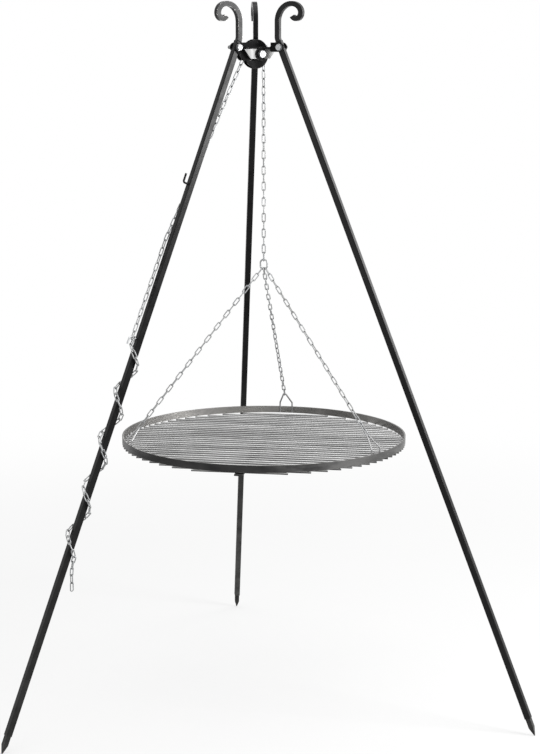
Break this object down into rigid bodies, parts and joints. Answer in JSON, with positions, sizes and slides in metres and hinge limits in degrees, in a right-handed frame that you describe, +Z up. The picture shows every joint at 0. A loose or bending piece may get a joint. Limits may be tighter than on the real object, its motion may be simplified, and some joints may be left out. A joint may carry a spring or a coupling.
{
  "type": "campfire tripod grate",
  "caption": "Folding black steel tripod with scrolled leg tops and a round rod grate hung on chain from a pulley in the hub, its height set by hooking the chain on one leg.",
  "frame": {"origin": "centre of the footprint on the ground, under the middle of the bounding box", "axes": "+Z up; +Y towards the rear leg; the two other legs stand to the front left (-X -Y) and front right (+X -Y)"},
  "size_m": [1.2588, 1.093, 1.7173],
  "materials": {
    "black_paint": "semi-gloss black paint over steel",
    "zinc": "bright zinc plated",
    "bare_steel": "brushed bare steel"
  },
  "bodies": {
    "head": {"hub_plate": "black_paint", "fork_ears": "black_paint", "pulley_cheeks": "black_paint", "splay_stops": "black_paint", "axle_plates": "zinc", "axle_bolt": "zinc", "axle_nut": "zinc", "axle_washers": "black_paint", "axle_spacers": "zinc", "pivot_bolts": "zinc", "pivot_washers": "zinc", "pivot_nuts": "zinc", "chain_on_pulley": "zinc"},
    "pulley_wheel": {"pulley": "black_paint", "pulley_bush": "zinc"},
    "leg_left": {"leg_tube_left": "black_paint", "scroll_left": "black_paint", "spike_left": "black_paint", "chain_hook": "zinc", "utensil_hook": "black_paint", "tail_wrap": "zinc"},
    "leg_right": {"leg_tube_right": "black_paint", "scroll_right": "black_paint", "spike_right": "black_paint"},
    "leg_rear": {"leg_tube_rear": "black_paint", "scroll_rear": "black_paint", "spike_rear": "black_paint"},
    "chain_tail": {"tail_span": "zinc"},
    "chain_free_end": {"tail_end": "zinc"},
    "chain_top": {"top_link": "zinc"},
    "chain_long": {"load_chain": "zinc"},
    "chain_ring": {"master_link": "zinc"},
    "grate": {"sling_back": "zinc", "sling_left": "zinc", "sling_right": "zinc", "ring_lugs": "bare_steel", "grate_ring": "bare_steel", "grate_rods": "bare_steel", "grate_bar": "bare_steel"}
  },
  "joints": [
    {"name": "fold_left", "type": "hinge", "parent": "head", "child": "leg_left", "pos_m": [-0.05326, -0.21074, 1.61], "axis": [0.5, -0.866, 0], "range_deg": [0, 3]},
    {"name": "fold_right", "type": "hinge", "parent": "head", "child": "leg_right", "pos_m": [0.05326, -0.21074, 1.61], "axis": [0.5, 0.866, 0], "range_deg": [0, 3]},
    {"name": "fold_rear", "type": "hinge", "parent": "head", "child": "leg_rear", "pos_m": [0, -0.11849, 1.61], "axis": [-1, 0, 0], "range_deg": [0, 3]},
    {"name": "pulley_spin", "type": "hinge", "parent": "head", "child": "pulley_wheel", "pos_m": [-0.00632, -0.18364, 1.594], "axis": [0.5, -0.866, 0], "continuous": true},
    {"name": "tail_follow", "type": "hinge", "parent": "head", "child": "chain_tail", "pos_m": [-0.02648, -0.19528, 1.60442], "axis": [0.5, -0.866, 0], "range_deg": [0, 3]},
    {"name": "free_end_swing", "type": "hinge", "parent": "leg_left", "child": "chain_free_end", "pos_m": [-0.46087, -0.4396, 0.39698], "axis": [-0.5629, 0.8048, 0.1881], "range_deg": [-6, 10]},
    {"name": "chain_swing_side", "type": "hinge", "parent": "head", "child": "chain_top", "pos_m": [0.01543, -0.17108, 1.58957], "axis": [-0.5, 0.866, 0], "range_deg": [-2, 2]},
    {"name": "chain_swing_fore", "type": "hinge", "parent": "chain_top", "child": "chain_long", "pos_m": [0.01543, -0.17108, 1.57157], "axis": [-0.866, -0.5, 0], "range_deg": [-2, 2]},
    {"name": "grate_turn", "type": "hinge", "parent": "chain_long", "child": "chain_ring", "pos_m": [0.01543, -0.17108, 1.10037], "axis": [0, 0, 1], "range_deg": [-12, 12]},
    {"name": "grate_rock", "type": "hinge", "parent": "chain_ring", "child": "grate", "pos_m": [0.01543, -0.17108, 1.08457], "axis": [0.2588, 0.9659, 0], "range_deg": [-2, 2]}
  ],
  "couplings": [
    {"joint": "tail_follow", "follows": "fold_left", "ratio": 1}
  ]
}
